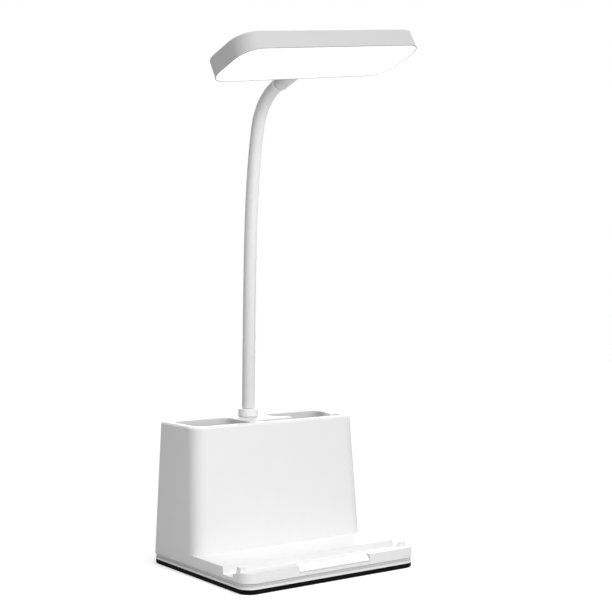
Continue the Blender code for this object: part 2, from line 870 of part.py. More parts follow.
def sloped_plate(name, half_width, rise, thickness, trim):
    """A plate lying on the touch strip's slope, raised off it and trimmed at both ends."""
    low, high = Vector((base_front, strip_foot_height)), Vector((strip_back, tray_top))
    along = (high - low).normalized()
    normal = Vector((-along.y, along.x))
    foot = low + along * trim + normal * rise
    head = high - along * trim + normal * rise
    profile = [tuple(point) for point in
               (foot, head, head + normal * thickness, foot + normal * thickness)]
    return prism(name, profile, -half_width, half_width, lamp)


def make_touch_strip():
    """The glossy strip that is touched to switch and dim, and the electrode behind it."""
    strip = sloped_plate("touch_strip", strip_width / 2 - strip_margin, seat_gap, strip_thickness,
                         strip_thickness)
    white_gloss.put_on(strip)
    run = math.hypot(strip_back_to_front, tray_top - strip_foot_height)
    trim = run * (1 - sensor_length_share) / 2
    behind = -(wall_under_strip() + seat_gap + sensor_thickness)
    sensor = sloped_plate("touch_sensor", sensor_width / 2, behind, sensor_thickness, trim)
    copper.put_on(sensor)


def wall_under_strip():
    """Thickness of the sloping wall behind the strip, square to it."""
    rise, run = tray_top - strip_foot_height, strip_back_to_front
    return tray_wall * (rise + run) / math.hypot(rise, run)


def make_base_lead():
    """The lead from the board up to the neck."""
    low, high = board_top + lead_start_rise, base_height - lead_end_drop
    points = []
    for step in range(lead_steps + 1):
        t = step / lead_steps
        share = min(t / lead_bend_share, 1)
        ease = share * share * (3 - 2 * share)
        points.append((lead_start_x * (1 - ease), neck_foot_y, low + (high - low) * t))
    lead = tube("base_lead", points, [lead_radius] * len(points), 1)
    shade(lead)
    lead_cover.put_on(lead)


# Neck


def neck_angle(share):
    """How far the neck leans from upright, at a share of its length."""
    start = neck_bend_start_share
    low = neck_lean + neck_droop * min(share / start, 1) ** neck_droop_power
    bend = quarter_turn - head_pitch - neck_lean - neck_droop
    return low + bend * min(max((share - start) / (1 - start), 0), 1)


def neck_swing(share):
    """How far the neck's plane turns aside near its top."""
    start = neck_bend_start_share
    return head_yaw * min(max((share - start) / (1 - start), 0), 1)


def neck_direction(share):
    lean, swing = neck_angle(share), neck_swing(share)
    return Vector((math.sin(lean) * math.sin(swing), -math.sin(lean) * math.cos(swing), math.cos(lean)))


def neck_line():
    """Points along the neck's centre line, a fixed step apart."""
    point = Vector((0, neck_foot_y, base_height))
    line = [point.copy()]
    for step in range(neck_line_steps):
        share = (step + 1 / 2) / neck_line_steps
        point = point + neck_direction(share) * (neck_length / neck_line_steps)
        line.append(point.copy())
    return line


neck_points = neck_line()


def neck_point(distance):
    """A point of the centre line at a distance along it, or straight on past its end."""
    if distance >= neck_length:
        return neck_points[-1] + neck_direction(1) * (distance - neck_length)
    place = distance / neck_length * (len(neck_points) - 1)
    index = int(place)
    return neck_points[index].lerp(neck_points[index + 1], place - index)


def joint_distance(number):
    """Where a link's ball sits along the neck, links counted from 0."""
    return neck_length * (first_joint_share + link_share * number)


def joint_place(number):
    return neck_point(joint_distance(number))


def link_profile(length, is_last):
    """Distance from the ball's centre and radius, from the ball up to the link's other end."""
    profile = []
    ball_end = -ball_radius * ball_cut_share
    neck_of_ball = ball_radius * ball_cut_share * ball_cut_share
    for step in range(ball_steps + 1):
        distance = ball_end + (neck_of_ball - ball_end) * step / ball_steps
        profile.append((distance, math.sqrt(ball_radius ** 2 - distance ** 2)))
    body_start = socket_rim_rise + link_end_gap
    body_end = length + socket_rim_rise
    if is_last:
        body_end = length - ferrule_length - seat_gap
    profile.append((body_start, neck_radius - shoulder_inset))
    first, last = body_start + shoulder_height, body_end - shoulder_height
    ribs = max(int((last - first) / rib_pitch), 1)
    pitch = (last - first) / ribs
    for rib in range(ribs):
        profile.append((first + pitch * rib, neck_radius))
        profile.append((first + pitch * (rib + 1 / 2), neck_radius - neck_groove_depth))
    profile.append((last, neck_radius))
    profile.append((body_end, neck_radius - shoulder_inset))
    if is_last:
        profile.append((body_end + small_overrun / 10, spigot_radius))
        profile.append((length + spigot_length, spigot_radius))
    return profile


def make_link(number):
    """One rigid stretch of the flexible neck, with a ball below and a socket above."""
    start = joint_distance(number)
    length = neck_length * link_share
    is_last = number == link_count - 1
    profile = link_profile(length, is_last)
    origin = joint_place(number)
    points = [neck_point(start + distance) - origin for distance, _ in profile]
    link = tube(link_name(number), points, [radius for _, radius in profile], link_sides)
    reach = [profile[0][0] - small_overrun] + [length * step / 3 for step in range(3)]
    reach += [profile[-1][0] + small_overrun]
    bore_points = [neck_point(start + distance) - origin for distance in reach]
    bore = tube(f"bore_{number}", bore_points, [neck_bore] * len(bore_points), 1, cutters)
    bore.location = origin
    carve(link, bore)
    if not is_last:
        socket = ball(f"socket_{number}", (0, 0, 0), ball_radius + socket_clearance)
        socket.location = joint_place(number + 1)
        carve(link, socket)
    link.location = origin
    shade(link)
    white_neck.put_on(link)
    return link


def link_name(number):
    return f"neck_link_{number + 1:02d}"


def make_neck_fittings():
    """The collar on the deck and the nut and washer that clamp it from below."""
    top, low = collar_top, collar_bottom
    stem_end = low - stem_length
    profile = [(stem_bore, top), (collar_radius - collar_round, top),
               (collar_radius, top - collar_round), (collar_radius, low), (stem_radius, low),
               (stem_radius, stem_end), (stem_bore, stem_end)]
    collar = turned("neck_collar", profile, steps=fine_round_steps)
    collar.location = (0, neck_foot_y, 0)
    socket = ball("collar_socket", (0, 0, 0), ball_radius + socket_clearance)
    socket.location = joint_place(0)
    carve(collar, socket)
    white_shell.put_on(collar)
    deck_underside = base_height - deck_wall
    bore = stem_radius + seat_gap
    washer_top = deck_underside - seat_gap
    washer_low = washer_top - washer_thickness
    washer = turned("neck_washer", [(bore, washer_top), (washer_radius, washer_top),
                                    (washer_radius, washer_low), (bore, washer_low)])
    washer.location = (0, neck_foot_y, 0)
    zinc.put_on(washer)
    nut_top = washer_low - seat_gap
    nut = cylinder("neck_nut", (0, neck_foot_y), nut_radius, nut_top - nut_thickness, nut_top, steps=6)
    carve(nut, cylinder("nut_bore", (0, neck_foot_y), bore, nut_top - nut_thickness - cut_overrun,
                        nut_top + cut_overrun, cutters))
    shade(nut)
    zinc.put_on(nut)


# Head


def head_matrix():
    """The head's frame: origin at the middle of its rear side, +X along it, -Y forwards."""
    turn = (Matrix.Rotation(head_yaw, 4, "Z") @ Matrix.Rotation(-head_pitch, 4, "X")
            @ Matrix.Rotation(-head_roll, 4, "Y"))
    forward = -(turn.to_3x3() @ Vector((0, 1, 0)))
    up = turn.to_3x3() @ Vector((0, 0, 1))
    rear = neck_point(neck_length) + forward * (knuckle_length + seat_gap) - up * knuckle_rise
    return Matrix.Translation(rear) @ turn


def make_head_frame():
    """Empties that carry the head: one on its joint, one in the head's own frame."""
    joint = add_object("lamp_head_joint", None)
    joint.location = joint_place(link_count - 1)
    frame = add_object("lamp_head_frame", None)
    frame.parent = joint
    bpy.context.view_layer.update()
    frame.matrix_local = joint.matrix_world.inverted() @ head_matrix()
    return frame


def head_plan():
    return Plan(-head_side, head_side, -head_depth, 0, head_corner)


def in_head(piece, frame):
    piece.parent = frame
    return piece


def along_knuckle(piece, frame):
    """Lay a piece turned about Z along the knuckle, with its +Z towards the neck."""
    piece.parent = frame
    piece.location = (0, 0, knuckle_rise)
    piece.rotation_euler = (-quarter_turn, 0, 0)
    return piece


def head_screw_places():
    rows = (led_board_front + head_screw_margin, -led_board_to_back - head_screw_margin)
    return [(side * (head_side - head_screw_to_side), y) for side in (-1, 1) for y in rows]


def make_head_housing(frame):
    """The head's shell with the knuckle that takes the neck's end."""
    plan = head_plan()
    half = head_thickness / 2
    levels = [(0, -half)] + [(head_draft + inset, z) for inset, z in rounded_top(half, head_top_round)]
    shell = in_head(stacked_solid("head_housing", plan, levels), frame)
    hollow = stacked_solid("head_hollow", plan,
                           [(head_wall, -half - cut_overrun), (head_wall, head_ceiling)], cutters)
    carve(shell, in_head(hollow, frame))
    end = knuckle_length
    nose = [(inset, height) for inset, height in rounded_top(end, knuckle_round)]
    profile = [(0, end)] + [(knuckle_radius - inset, height) for inset, height in reversed(nose)]
    profile += [(knuckle_radius, -knuckle_root), (0, -knuckle_root)]
    knuckle = turned("knuckle", profile, cutters, fine_round_steps, closed=False)
    carve(shell, along_knuckle(knuckle, frame), "UNION")
    step = diffuser_low + diffuser_thickness + seat_gap
    seat = stacked_solid("diffuser_seat", plan,
                         [(diffuser_lip, -half - cut_overrun), (diffuser_lip, step)], cutters)
    carve(shell, in_head(seat, frame))
    underside = head_ceiling - head_post_length
    for number, (x, y) in enumerate(head_screw_places()):
        post = cylinder(f"head_post_{number}", (x, y), head_post_radius, underside,
                        head_ceiling + small_overrun / 2, cutters, screw_steps)
        carve(shell, in_head(post, frame), "UNION")
    socket_radius = spigot_radius + seat_gap
    socket_floor = knuckle_length - spigot_length
    socket = turned("knuckle_socket", [(0, end + cut_overrun), (socket_radius, end + cut_overrun),
                                       (socket_radius, socket_floor), (0, socket_floor)],
                    cutters, closed=False)
    carve(shell, along_knuckle(socket, frame))
    wire_way = turned("knuckle_bore", [(0, end), (neck_bore, end),
                                       (neck_bore, -knuckle_root - cut_overrun),
                                       (0, -knuckle_root - cut_overrun)],
                      cutters, screw_steps, closed=False)
    carve(shell, along_knuckle(wire_way, frame))
    hole_radius = head_screw_radius + screw_hole_clearance
    for number, (x, y) in enumerate(head_screw_places()):
        hole = cylinder(f"head_pilot_{number}", (x, y), hole_radius, underside - cut_overrun,
                        head_ceiling, cutters, screw_steps)
        carve(shell, in_head(hole, frame))
    shade(shell)
    white_shell.put_on(shell)


def make_diffuser(frame):
    """The opal plate in its rebate in the head's underside."""
    inset = diffuser_lip + seat_gap
    levels = [(inset, diffuser_low), (inset, diffuser_low + diffuser_thickness)]
    plate = in_head(stacked_solid("diffuser", head_plan(), levels), frame)
    shade(plate)
    opal.put_on(plate)


def make_reflector_frame(frame):
    """The white rim that spaces the diffuser from the board, with a way for the wires."""
    inset = head_wall + seat_gap
    frame_low = diffuser_low + diffuser_thickness + seat_gap
    frame_high = led_board_low - seat_gap
    rim = stacked_solid("reflector_frame", head_plan(), [(inset, frame_low), (inset, frame_high)])
    in_head(rim, frame)
    inner = inset + frame_thickness
    window = stacked_solid("frame_window", head_plan(),
                           [(inner, frame_low - cut_overrun), (inner, frame_high + cut_overrun)], cutters)
    carve(rim, in_head(window, frame))
    notch_half = neck_bore + small_overrun
    notch = block("frame_notch", (-notch_half, -inner - small_overrun, -neck_bore - small_overrun),
                  (notch_half, 0, frame_high + cut_overrun), cutters)
    carve(rim, in_head(notch, frame))
    shade(rim)
    board_white.put_on(rim)


def make_led_board(frame):
    """The board with its light-emitting chips, screwed up against the head's posts."""
    plan = Plan(-led_board_half, led_board_half, led_board_front, -led_board_to_back,
                led_board_corner)
    levels = [(0, led_board_low), (0, led_board_top)]
    board = in_head(stacked_solid("led_board", plan, levels, steps=fillet_steps), frame)
    hole_radius = head_screw_radius + screw_hole_clearance
    for number, (x, y) in enumerate(head_screw_places()):
        hole = cylinder(f"board_hole_{number}", (x, y), hole_radius, led_board_low - cut_overrun,
                        led_board_top + cut_overrun, cutters, screw_steps)
        carve(board, in_head(hole, frame))
    board_white.put_on(board)
    high = led_board_low - seat_gap
    middle = (led_board_front - led_board_to_back) / 2
    first = led_to_board_end - led_board_half
    chip = block("led_chip_01", (-led_width / 2, -led_depth / 2, -led_height),
                 (led_width / 2, led_depth / 2, 0))
    led_yellow.put_on(chip)
    for column in range(led_count):
        piece = chip if column == 0 else add_object(f"led_chip_{column + 1:02d}", chip.data)
        piece.location = (first - 2 * first * column / (led_count - 1), middle, high)
        in_head(piece, frame)


def make_head_screws(frame):
    low = led_board_low - seat_gap - head_screw_head_height
    screw = screw_shape("head_screw_1", head_screw_head_radius, head_screw_head_height,
                        head_screw_radius, head_screw_head_height + head_screw_length)
    shade(screw)
    steel.put_on(screw)
    for piece in copies(screw, [(x, y, low) for x, y in head_screw_places()]):
        in_head(piece, frame)


def make_ferrule(frame):
    """The ring that finishes the neck's end against the knuckle."""
    low = knuckle_length + seat_gap
    high = low + ferrule_length
    bore = spigot_radius + seat_gap
    edge = collar_round / 2
    profile = [(bore, high), (ferrule_radius - edge, high), (ferrule_radius, high - edge),
               (ferrule_radius, low + edge), (ferrule_radius - edge, low), (bore, low)]
    ring = along_knuckle(turned("neck_ferrule", profile), frame)
    white_gloss.put_on(ring)


def build_lamp():
    for old in list(bpy.data.objects):
        bpy.data.objects.remove(old, do_unlink=True)
    bpy.context.scene.collection.children.link(lamp)
    bpy.context.scene.collection.children.link(cutters)
    make_housing()
    make_bottom_cover()
    make_pad()
    make_base_screws()
    make_counterweight()
    make_cell()
    make_board()
    make_charging_socket()
    make_touch_strip()
    make_base_lead()
    make_neck_fittings()
    frame = make_head_frame()
    for number in range(link_count):
        make_link(number)
    make_ferrule(frame)
    make_head_housing(frame)
    make_diffuser(frame)
    make_reflector_frame(frame)
    make_led_board(frame)
    make_head_screws(frame)
    bpy.context.view_layer.update()


build_lamp()
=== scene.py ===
"""Looks of a desk lamp with a pen holder, a front ledge and a flexible neck.

Metres, +Z up.  The lamp stands on the floor at Z 0 and -Y is towards its user.
"""
import json
import math

import bmesh
import bpy
from mathutils import Matrix, Vector


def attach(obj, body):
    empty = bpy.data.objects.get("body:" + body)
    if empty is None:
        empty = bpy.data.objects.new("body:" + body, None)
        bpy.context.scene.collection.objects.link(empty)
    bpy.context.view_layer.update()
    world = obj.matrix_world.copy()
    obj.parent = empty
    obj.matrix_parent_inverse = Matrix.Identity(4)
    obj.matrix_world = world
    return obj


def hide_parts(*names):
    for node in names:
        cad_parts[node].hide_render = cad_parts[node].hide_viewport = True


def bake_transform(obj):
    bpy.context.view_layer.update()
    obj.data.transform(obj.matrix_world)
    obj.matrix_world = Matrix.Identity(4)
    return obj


millimetre = 0.001
quarter_turn = math.pi / 2
half_turn = math.pi
full_turn = math.tau
sideways = Vector((1, 0, 0))
upwards = Vector((0, 0, 1))

# Meshes
weld_distance = 0.000005
crisp_angle = math.radians(35)
trim_crisp_angle = math.radians(50)

# Camera
camera_place = Vector((-0.45051, -0.64640, 0.18135))
camera_turn = math.radians(35.91)
camera_dip = math.radians(1.684)
camera_lens = 76.09
camera_reach = 50.0
sensor_width = 36.0

# Far lamps: name, how brightly each lights a white surface facing it, direction and spread
far_lamps = (
    ("key light", 0.47, Vector((0.10, -0.98, 0.04)), math.radians(110)),
    ("top light", 0.54, Vector((0.05, -0.10, 0.99)), math.radians(40)),
    ("back light", 0.38, Vector((0.55, 0.82, 0.02)), math.radians(40)),
)

# Near panels: name, how brightly each lights a white surface at the base, and place
near_panels = (
    ("left panel", 0.14, Vector((-0.28, -0.18, 0.12))),
    ("front panel", 0.21, Vector((0.00, -0.32, 0.19))),
)
panel_size = 0.20

# The light from all round, and the plate's glow, as it lights the base and as the camera sees it
ambient_level = 0.06
glow_level = 5.0
glow_seen_level = 0.37

# Floor: how light it looks, how light it is where its light falls on a piece, and its own glow
floor_radius = 2.4
floor_sides = 96
floor_fade_share = 0.45
floor_shade = 0.80
floor_bounce_shade = 0.54
floor_lift = 0.46
floor_roughness = 0.95

# Painted shade, a darker colour standing in for shade in the cover's recess and on the head's lip:
# where each starts, how soft it is and by how much its colour changes
recess_height = 0.0040
recess_softness = 0.0003
recess_shade_change = -0.18
lip_band = 0.00012
lip_softness = 0.00006
lip_shade_change = -0.45

# Neck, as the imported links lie
deck_height = 0.0873
neck_foot_y = 0.0383
neck_length = 0.2160
neck_lean = math.radians(1.2)
neck_droop = math.radians(11.7)
neck_droop_power = 4
neck_bend_start_share = 0.841
neck_line_steps = 430
head_pitch = math.radians(21.1)
head_yaw = math.radians(4.4)
collar_height = 0.005
socket_rim_rise = 0.0012
ferrule_length = 0.0016
seat_gap = 0.0003

# Ribbed sleeves over the neck; a rib's outline is a share of its pitch and a share of its height
sleeve_radius = 0.0041
sleeve_sides = 28
rib_depth = 0.00009
rib_outline = ((0, 0), (0.28, 1), (0.72, 1))
ribs_in_link = 16
bend_reach = 0.0062
spigot_radius = 0.0030
spigot_reach = 0.0015

# Head: its place on the neck and the opal plate in its underside
head_length = 0.145
head_depth = 0.0400
head_thickness = 0.0110
head_corner = 0.0128
head_roll = math.radians(8.0)
knuckle_length = 0.0184
knuckle_rise = 0.0003
plate_inset = 0.00064
plate_recess = 0.00002
plate_thickness = 0.0016
plate_edge_round = 0.00010
corner_sides = 16
round_sides = 4

# Touch key on the sloping strip
strip_front = Vector((0, -0.0536, 0.0075))
strip_rear = Vector((0, -0.0487, 0.0125))
strip_thickness = 0.0009
key_offset = -0.004
key_half_length = 0.010
key_half_width = 0.0019
key_end_steps = 12
key_bead = 0.00016
bead_sides = 8

# A Mix node's sockets when it mixes colours, by number because other kinds share their names
mix_factor, mix_first, mix_second, mix_result = 0, 6, 7, 2


class Signal:
    """A number, colour or vector that varies over a surface.  Numbers have arithmetic."""

    def __init__(self, nodes, socket):
        self.nodes, self.socket = nodes, socket

    def combine(self, operation, first, second):
        return self.nodes.signal("ShaderNodeMath", {"operation": operation}, {0: first, 1: second})

    def __add__(self, other):
        return self.combine("ADD", self, other)

    def __sub__(self, other):
        return self.combine("SUBTRACT", self, other)

    def __rsub__(self, other):
        return self.combine("SUBTRACT", other, self)

    def __mul__(self, other):
        return self.combine("MULTIPLY", self, other)

    __radd__ = __add__
    __rmul__ = __mul__


class Nodes:
    """The nodes of a material or of the world, round its shader."""

    def __init__(self, tree, shader):
        self.tree, self.shader = tree, tree.nodes[shader]

    def set(self, socket, value):
        """Feed a socket of the shader."""
        self.join(self.shader.inputs[socket], value)

    def join(self, socket, value):
        """Link a socket to what varies, or give it a plain value."""
        if isinstance(value, Signal):
            self.tree.links.new(value.socket, socket)
        else:
            socket.default_value = value

    def node(self, kind, settings, values):
        """Add a node: its settings first, then its sockets."""
        made = self.tree.nodes.new(kind)
        for name, value in settings.items():
            setattr(made, name, value)
        for socket, value in values.items():
            self.join(made.inputs[socket], value)
        return made

    def signal(self, kind, settings, values, output=0):
        """Add a node and take one of its outputs."""
        return Signal(self, self.node(kind, settings, values).outputs[output])

    def seen(self):
        """1 where the camera, a reflection or glass shows it, 0 where it lights a piece."""
        path = self.node("ShaderNodeLightPath", {}, {})
        camera, glossy, clear = (Signal(self, path.outputs[f"Is {ray} Ray"])
                                 for ray in ("Camera", "Glossy", "Transmission"))
        return camera + glossy + clear


class Paint(Nodes):
    """One material, mixed from procedural patterns."""

    def __init__(self, name, colour, roughness, **constants):
        self.material = bpy.data.materials.new(name)
        self.material.use_nodes = True
        super().__init__(self.material.node_tree, "Principled BSDF")
        self.set("Base Color", (*colour, 1.0))
        self.set("Roughness", roughness)
        for socket, value in constants.items():
            self.set(socket.replace("_", " ").title().replace("Ior", "IOR"), value)
        self.place = None

    def position(self):
        """Where a point lies on its piece, in metres."""
        if self.place is None:
            self.place = self.signal("ShaderNodeTexCoord", {}, {}, "Object")
        return self.place

    def distance_along(self, direction):
        """How far a point lies along a direction, from its piece's origin."""
        values = {0: self.position(), 1: direction}
        return self.signal("ShaderNodeVectorMath", {"operation": "DOT_PRODUCT"}, values, "Value")

    def distance_out(self):
        """How far a point lies from its piece's origin."""
        values = {0: self.position()}
        return self.signal("ShaderNodeVectorMath", {"operation": "LENGTH"}, values, "Value")

    def noise(self, size, detail=2.0, harshness=0.5):
        values = {"Vector": self.position(), "Scale": 1 / size, "Detail": detail,
                  "Roughness": harshness}
        return self.signal("ShaderNodeTexNoise", {}, values, "Fac")

    def speckle(self, size):
        values = {"Vector": self.position(), "Scale": 1 / size}
        return self.signal("ShaderNodeTexVoronoi", {}, values, "Distance")

    def mixed(self, factor, first, second):
        """A colour between two, by a factor."""
        first, second = (tone if isinstance(tone, Signal) else (*tone, 1.0)
                         for tone in (first, second))
        values = {mix_factor: factor, mix_first: first, mix_second: second}
        return self.signal("ShaderNodeMix", {"data_type": "RGBA"}, values, mix_result)

    def clouded(self, pattern, colour, darker, lighter):
        """A colour that a pattern makes a little darker and lighter."""
        return self.mixed(pattern, tinted(colour, -darker), tinted(colour, lighter))

    def stepped(self, factor, low, high):
        """0 below low, 1 above high and smooth between them."""
        values = {"Value": factor, "From Min": low, "From Max": high}
        return self.signal("ShaderNodeMapRange", {"interpolation_type": "SMOOTHSTEP"}, values)

    def finish(self, colour, roughness, height, depth):
        """Set what varies: the colour, the roughness and a relief of a depth."""
        self.set("Base Color", colour)
        self.set("Roughness", roughness)
        values = {"Strength": 1.0, "Distance": depth, "Height": height}
        self.set("Normal", self.signal("ShaderNodeBump", {}, values, "Normal"))
        return self.material


def grey(level):
    return (level, level, level)


def tinted(colour, change):
    return tuple(min(part + change, 1.0) for part in colour)


def uneven(level, pattern, swing):
    """A level that a pattern moves up and down by half a swing."""
    return level + (pattern - 0.5) * swing


# Finishes


def satin_plastic(name, colour, roughness, specular=0.3, painted_shade=None):
    """Moulded plastic with a fine spark-eroded grain and faint handling marks.

    Painted shade darkens the colour along a direction: its direction, start, softness and change.
    """
    paint = Paint(name, colour, roughness, specular_ior_level=specular)
    cloud = paint.noise(18 * millimetre, detail=3.0)
    tone = paint.clouded(cloud, colour, darker=0.012, lighter=0.012)
    if painted_shade:
        # Painted shade: the colour darkens past a point along a direction, standing in for shade.
        direction, start, softness, change = painted_shade
        edge = paint.stepped(paint.distance_along(direction), start, start + softness)
        tone = paint.mixed(edge, tone, tinted(colour, change))
    grain = paint.noise(0.35 * millimetre, harshness=0.6)
    marks = paint.stepped(paint.noise(7 * millimetre, detail=4.0), low=0.5, high=0.75)
    polish = marks * 0.05
    return paint.finish(tone, uneven(roughness, grain, swing=0.08) - polish,
                        height=grain, depth=0.006 * millimetre)


def gloss_plastic(name, colour):
    """Polished plastic with a slow ripple from the mould."""
    paint = Paint(name, colour, roughness=0.12, coat_weight=0.3, coat_roughness=0.06)
    ripple = paint.noise(9 * millimetre, detail=1.0)
    haze = paint.noise(1.5 * millimetre, detail=3.0) * 0.06
    return paint.finish(paint.clouded(ripple, colour, darker=0.01, lighter=0.01), 0.10 + haze,
                        height=ripple, depth=0.004 * millimetre)


def opal_plastic():
    """Light-spreading plate, lit from behind.

    The camera sees a dimmer glow than the base gets, or the thin lip round it would be lost.
    """
    white = grey(0.96)
    paint = Paint("opal diffuser", white, roughness=0.3, emission_strength=glow_level)
    camera = paint.signal("ShaderNodeLightPath", {}, {}, "Is Camera Ray")
    glow = paint.mixed(paint.noise(14 * millimetre), grey(0.98), grey(1.0))
    paint.set("Emission Color", paint.mixed(camera, glow, grey(glow_seen_level / glow_level)))
    grain = paint.noise(0.4 * millimetre, detail=1.0)
    haze = grain * 0.1
    return paint.finish((*white, 1.0), 0.26 + haze, height=grain, depth=0.004 * millimetre)


def black_rubber():
    """Anti-slip rubber with a fine waffle and a little dust."""
    paint = Paint("anti-slip rubber", grey(0.006), roughness=0.8, specular_ior_level=0.05)
    cells = paint.speckle(1.3 * millimetre)
    dust = paint.stepped(paint.noise(5 * millimetre, detail=4.0), low=0.55, high=0.8)
    dulled, pitted = dust * 0.12, cells * 0.05
    return paint.finish(paint.mixed(dust, grey(0.004), grey(0.012)), 0.72 + dulled + pitted,
                        height=cells, depth=0.05 * millimetre)


def plated_metal(name, colour, roughness):
    """Plated steel with fine scratches."""
    paint = Paint(name, colour, roughness, metallic=1.0)
    scratches = paint.noise(0.25 * millimetre, detail=3.0, harshness=0.7)
    tone = paint.clouded(paint.noise(4 * millimetre), colour, darker=0.06, lighter=0.03)
    return paint.finish(tone, uneven(roughness, scratches, swing=0.16),
                        height=scratches, depth=0.004 * millimetre)


def board_lacquer(name, colour, track):
    """Lacquered circuit board with faint tracks under the lacquer."""
    paint = Paint(name, colour, roughness=0.35, coat_weight=0.4, coat_roughness=0.15)
    tracks = paint.stepped(paint.speckle(1.6 * millimetre), low=0.35, high=0.45)
    haze = paint.noise(1.2 * millimetre) * 0.12
    return paint.finish(paint.mixed(tracks, colour, track), 0.32 + haze,
                        height=tracks, depth=0.02 * millimetre)


def simple_finish(name, colour, roughness, grain_size=0.5 * millimetre):
    """A small inner piece's finish, slightly uneven."""
    paint = Paint(name, colour, roughness)
    grain = paint.noise(grain_size, detail=3.0)
    return paint.finish(paint.clouded(grain, colour, darker=0.02, lighter=0.02),
                        uneven(roughness, grain, swing=0.15),
                        height=grain, depth=0.008 * millimetre)


# Meshes


def dress(names, material):
    """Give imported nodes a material, with round faces smooth and edges crisp."""
    for name in names:
        piece = frame["nodes"][name]
        piece.data.materials.clear()
        piece.data.materials.append(material)
        normals = piece.data.attributes.get("custom_normal")
        if normals:
            piece.data.attributes.remove(normals)
        piece.data.shade_smooth()
        weld = piece.modifiers.new("weld", "WELD")
        weld.merge_threshold = weld_distance
        split = piece.modifiers.new("crisp edges", "EDGE_SPLIT")
        split.split_angle = crisp_angle
        piece.modifiers.new("even shading", "WEIGHTED_NORMAL")


def numbered(stem, count, digits=1):
    return [f"{stem}_{number:0{digits}d}" for number in range(1, count + 1)]


def add_piece(name, shape, material, smooth=True):
    """Turn a finished shape into an object with a material."""
    bmesh.ops.recalc_face_normals(shape, faces=shape.faces)
    mesh = bpy.data.meshes.new(name)
    shape.to_mesh(mesh)
    shape.free()
    mesh.materials.append(material)
    if smooth:
        mesh.shade_smooth()
        mesh.set_sharp_from_angle(angle=trim_crisp_angle)
    piece = bpy.data.objects.new(name, mesh)
    bpy.context.scene.collection.objects.link(piece)
    return piece


def ring(shape, centre, across, up, radius, sides):
    """A ring of points round a centre, in the plane of two directions."""
    angles = (full_turn * side / sides for side in range(sides))
    return [shape.verts.new(centre + (across * math.cos(angle) + up * math.sin(angle)) * radius)
            for angle in angles]


def join_rings(shape, rings):
    """Faces from each ring of points to the next."""
    for low, high in zip(rings, rings[1:]):
        for here in range(len(low)):
            ahead = (here + 1) % len(low)
            shape.faces.new((low[here], low[ahead], high[ahead], high[here]))


# Neck


def neck_direction(share):
    """The way the neck points at a share of its length."""
    start = neck_bend_start_share
    bent = min(max((share - start) / (1 - start), 0), 1)
    low = neck_lean + neck_droop * min(share / start, 1) ** neck_droop_power
    lean = low + (quarter_turn - head_pitch - neck_lean - neck_droop) * bent
    swing = head_yaw * bent
    out = math.sin(lean)
    return Vector((out * math.sin(swing), -out * math.cos(swing), math.cos(lean)))


def neck_line():
    """Points along the neck's centre line, from the deck up."""
    point = Vector((0, neck_foot_y, deck_height))
    line = [point.copy()]
    for step in range(neck_line_steps):
        share = (step + 1 / 2) / neck_line_steps
        point = point + neck_direction(share) * (neck_length / neck_line_steps)
        line.append(point.copy())
    return line


def neck_point(distance):
    """The point at a distance along the neck, which goes on straight past its end."""
    if distance >= neck_length:
        return neck_points[-1] + neck_direction(1) * (distance - neck_length)
    place = distance / neck_length * (len(neck_points) - 1)
    index = int(place)
    return neck_points[index].lerp(neck_points[index + 1], place - index)


def ring_on_neck(shape, distance, radius):
    """A ring of points square to the neck's centre line."""
    along = neck_direction(min(distance / neck_length, 1))
    across = upwards.cross(along).normalized()
    return ring(shape, neck_point(distance), across, along.cross(across), radius, sleeve_sides)


def ribbed_sleeve(name, start, end, ribs, material, ends=()):
    """A stretch of the neck's ribbed skin, between two distances along it."""
    shape = bmesh.new()
    pitch = (end - start) / ribs
    profile = []
    for rib in range(ribs):
        for share, height in rib_outline:
            radius = sleeve_radius - rib_depth * (1 - height)
            profile.append((start + pitch * (rib + share), radius))
    profile.append((end, sleeve_radius - rib_depth))
    profile += ends
    join_rings(shape, [ring_on_neck(shape, distance, radius) for distance, radius in profile])
    return add_piece(name, shape, material)


def cover_neck(material):
    """One sleeve across each joint of the neck, from the middle of a link to the next."""
    joints = [joint for joint in frame["joints"] if joint["name"].startswith("neck")]
    first = collar_height - socket_rim_rise
    link = (neck_length - first) / len(joints)
    for number, joint in enumerate(joints):
        middle = first + link * number
        start = middle - link / 2 if number else collar_height + seat_gap
        last = number == len(joints) - 1
        end = neck_length - ferrule_length - seat_gap if last else middle + link / 2
        ribs = round((end - start) / link * ribs_in_link)
        ends = [(end, spigot_radius), (neck_length + spigot_reach, spigot_radius)] if last else []
        sleeve = ribbed_sleeve(f"neck_sleeve_{number + 1:02d}", start, end, ribs, material, ends)
        neck_point(max(middle - bend_reach, start))
        neck_point(middle + bend_reach)
        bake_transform(sleeve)
        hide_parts(f"neck_link_{number + 1:02d}")


# Head


def head_matrix():
    """The head's own frame: its origin amid the rear side, -Y forwards."""
    turn = (Matrix.Rotation(head_yaw, 4, "Z") @ Matrix.Rotation(-head_pitch, 4, "X")
            @ Matrix.Rotation(-head_roll, 4, "Y"))
    reach = Vector((0, -knuckle_length - seat_gap, -knuckle_rise))
    return Matrix.Translation(neck_point(neck_length) + turn.to_3x3() @ reach) @ turn


def head_outline(inset):
    """The head's rounded outline seen from above, drawn in by an inset."""
    points = []
    radius = head_corner - inset
    for corner, (side, end) in enumerate(((1, 1), (-1, 1), (-1, -1), (1, -1))):
        middle_x = side * (head_length / 2 - head_corner)
        middle_y = end * (head_depth / 2 - head_corner) - head_depth / 2
        for step in range(corner_sides + 1):
            angle = quarter_turn * (corner + step / corner_sides)
            points.append((middle_x + radius * math.cos(angle),
                           middle_y + radius * math.sin(angle)))
    return points


